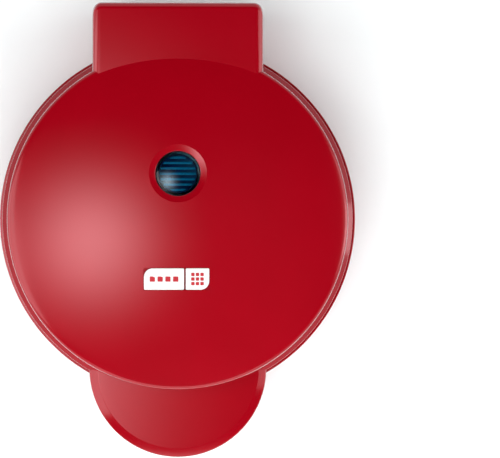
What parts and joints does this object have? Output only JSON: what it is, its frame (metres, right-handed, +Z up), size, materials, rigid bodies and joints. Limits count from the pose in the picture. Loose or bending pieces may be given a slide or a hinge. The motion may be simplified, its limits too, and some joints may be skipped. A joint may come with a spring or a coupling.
{
  "type": "waffle maker",
  "caption": "Round electric waffle maker with a hinged domed lid, front handle, indicator light and heart-shaped baking plates.",
  "frame": {"origin": "on the surface that the feet stand on, under the middle of the bounding box", "axes": "+Z up, +Y towards the hinge housing at the rear, -Y towards the handle, +X to the right seen from the front"},
  "size_m": [0.231, 0.292, 0.0957],
  "materials": {
    "casing": "gloss",
    "trim_ring": "gloss",
    "rubber": "matte",
    "black_plastic": "satin",
    "nonstick": "satin non-stick coating on cast aluminium",
    "heater_steel": "heat-tinted",
    "screw_steel": "plain",
    "sheet_steel": "plain",
    "lens": "gloss, translucent",
    "lamp_glass": "clear",
    "badge_white": "satin",
    "insulator": "matte"
  },
  "bodies": {
    "base": {"base_shell": "casing", "bottom_cover": "black_plastic", "foot_1": "rubber", "foot_2": "rubber", "foot_3": "rubber", "foot_4": "rubber", "base_liner": "trim_ring", "lower_plate": "nonstick", "lower_heating_element": "heater_steel", "lower_element_clamp": "sheet_steel", "lower_clamp_screw": "screw_steel", "lower_reflector": "sheet_steel", "thermal_fuse": "sheet_steel", "terminal_block": "insulator", "base_lead": "insulator", "cord_gland": "rubber", "hinge_bush_left": "insulator", "hinge_bush_right": "insulator", "cover_screw_1": "screw_steel", "cover_screw_2": "screw_steel", "cover_screw_3": "screw_steel", "cover_screw_4": "screw_steel", "base_liner_screw_1": "screw_steel", "base_liner_screw_2": "screw_steel", "base_liner_screw_3": "screw_steel", "base_liner_screw_4": "screw_steel", "lower_plate_screw_1": "screw_steel", "lower_plate_screw_2": "screw_steel", "lower_plate_screw_3": "screw_steel"},
    "lid": {"lid_shell": "casing", "lid_liner": "trim_ring", "upper_plate": "nonstick", "upper_heating_element": "heater_steel", "upper_element_clamp": "sheet_steel", "upper_clamp_screw": "screw_steel", "upper_reflector": "sheet_steel", "thermostat": "black_plastic", "lamp_holder": "insulator", "indicator_lamp": "lamp_glass", "light_lens": "lens", "lens_retainer": "black_plastic", "badge_panel": "badge_white", "badge_tile": "badge_white", "lid_lead": "insulator", "hinge_pin_left": "screw_steel", "hinge_pin_right": "screw_steel", "lid_liner_screw_1": "screw_steel", "lid_liner_screw_2": "screw_steel", "lid_liner_screw_3": "screw_steel", "lid_liner_screw_4": "screw_steel", "upper_plate_screw_1": "screw_steel", "upper_plate_screw_2": "screw_steel", "upper_plate_screw_3": "screw_steel"}
  },
  "joints": [
    {"name": "lid_hinge", "type": "hinge", "parent": "base", "child": "lid", "pos_m": [0, 0.1303, 0.0463], "axis": [-1, 0, 0], "range_deg": [0, 100]}
  ]
}
